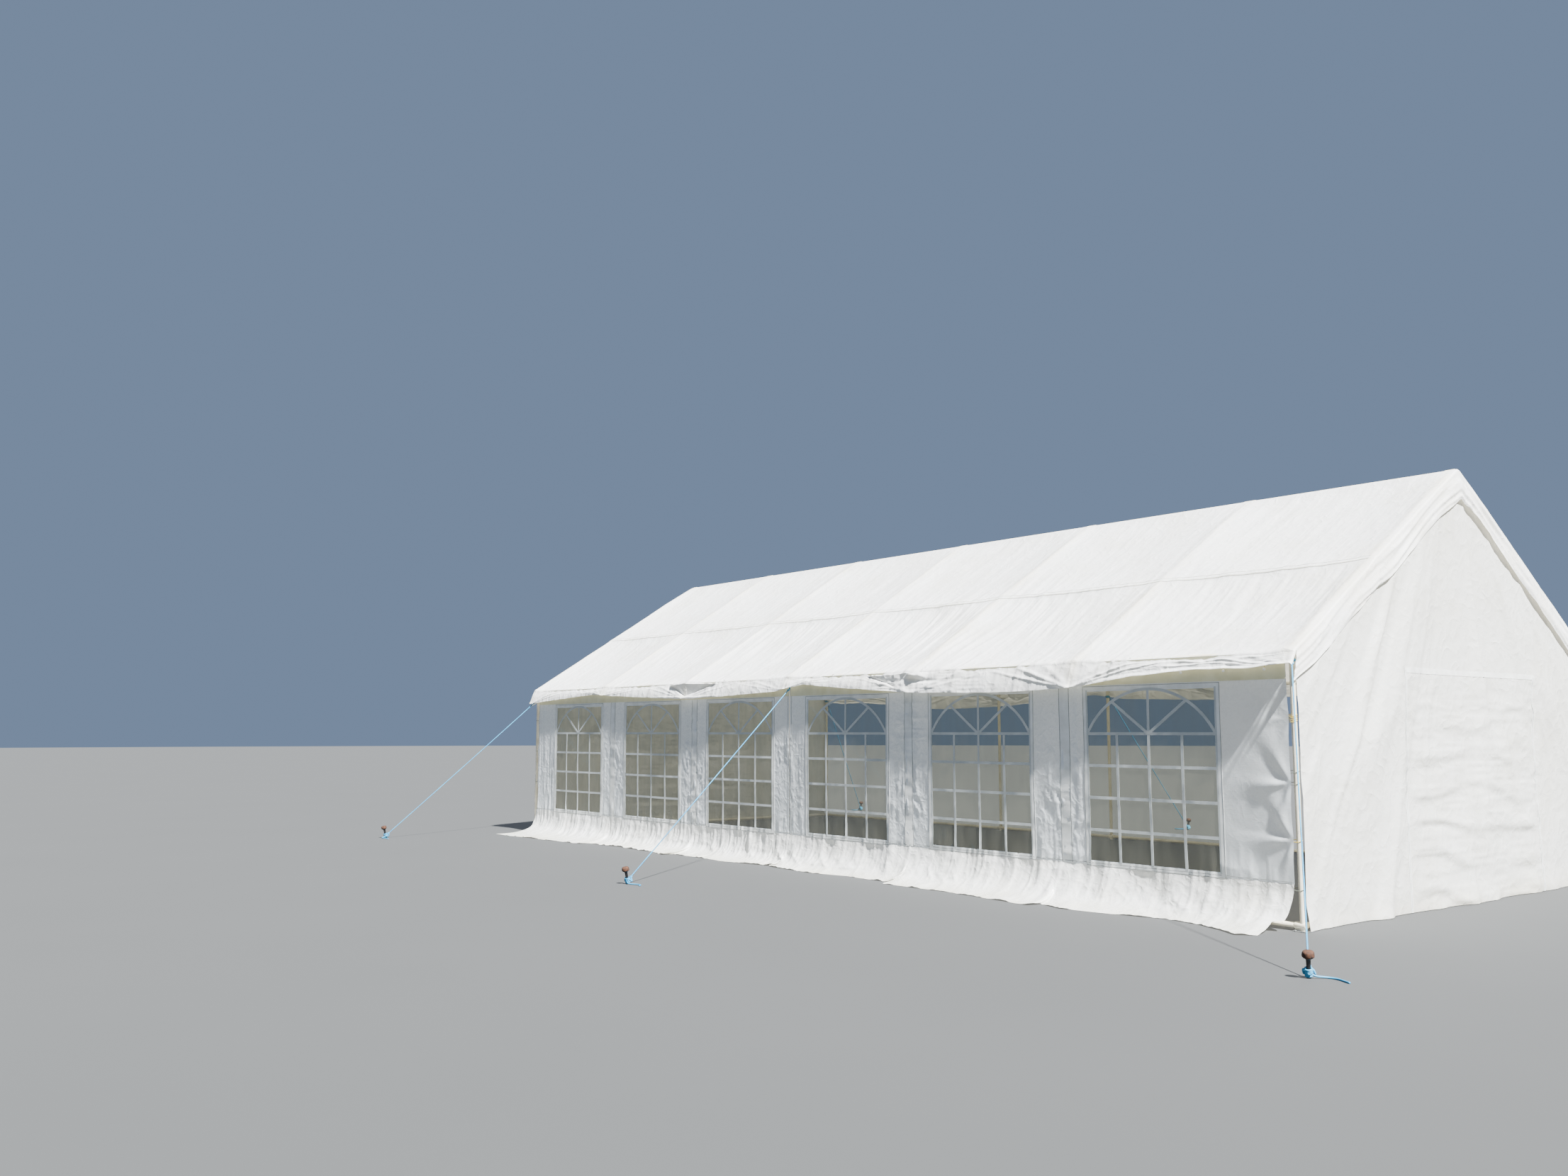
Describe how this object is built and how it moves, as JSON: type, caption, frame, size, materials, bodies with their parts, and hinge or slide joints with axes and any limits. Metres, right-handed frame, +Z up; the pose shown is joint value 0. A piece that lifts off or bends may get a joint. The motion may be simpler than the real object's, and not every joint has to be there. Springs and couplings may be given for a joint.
{
  "type": "marquee tent",
  "caption": "Long white marquee tent on a steel tube frame, with arched clear windows along its front, an open rear, closed gables, a ground skirt and blue guy ropes on iron pegs.",
  "frame": {"origin": "on the ground under the middle of the ridge, which is the centre of the footprint of tent, ropes and pegs", "axes": "+X along the ridge towards the right-hand gable seen from the windowed front, +Y towards the open rear, +Z up"},
  "size_m": [14.0932, 10.3206, 3.7871],
  "materials": {
    "frame_steel": "cream-white painted steel tube",
    "roof_cloth": "white woven polyethylene, lightly creased, slight sheen",
    "wall_cloth": "white woven polyethylene, translucent, lightly creased",
    "window_film": "clear flexible vinyl film",
    "guy_rope": "laid blue polypropylene rope",
    "peg_iron": "rusty hammered iron"
  },
  "bodies": {
    "root": {"portal_frame_1": "frame_steel", "portal_frame_2": "frame_steel", "portal_frame_3": "frame_steel", "portal_frame_4": "frame_steel", "portal_frame_5": "frame_steel", "portal_frame_6": "frame_steel", "portal_frame_7": "frame_steel", "front_eave_rail": "frame_steel", "front_mid_purlin": "frame_steel", "ridge_tube": "frame_steel", "rear_mid_purlin": "frame_steel", "rear_eave_rail": "frame_steel", "front_ground_bar": "frame_steel", "rear_ground_bar": "frame_steel", "roof_front": "roof_cloth", "roof_rear": "roof_cloth", "front_valance": "roof_cloth", "rear_valance": "roof_cloth", "left_gable_valance": "roof_cloth", "right_gable_valance": "roof_cloth", "front_wall_left": "wall_cloth", "front_wall_right": "wall_cloth", "front_skirt": "wall_cloth", "left_gable_wall": "wall_cloth", "left_gable_door": "wall_cloth", "right_gable_wall": "wall_cloth", "right_gable_door": "wall_cloth", "window_pane_1": "window_film", "window_pane_2": "window_film", "window_pane_3": "window_film", "window_pane_4": "window_film", "window_pane_5": "window_film", "window_pane_6": "window_film", "front_guy_left": "guy_rope", "front_guy_middle": "guy_rope", "front_guy_right": "guy_rope", "rear_guy_left": "guy_rope", "rear_guy_middle": "guy_rope", "rear_guy_right": "guy_rope", "front_peg_left": "peg_iron", "front_peg_middle": "peg_iron", "front_peg_right": "peg_iron", "rear_peg_left": "peg_iron", "rear_peg_middle": "peg_iron", "rear_peg_right": "peg_iron"}
  },
  "joints": []
}
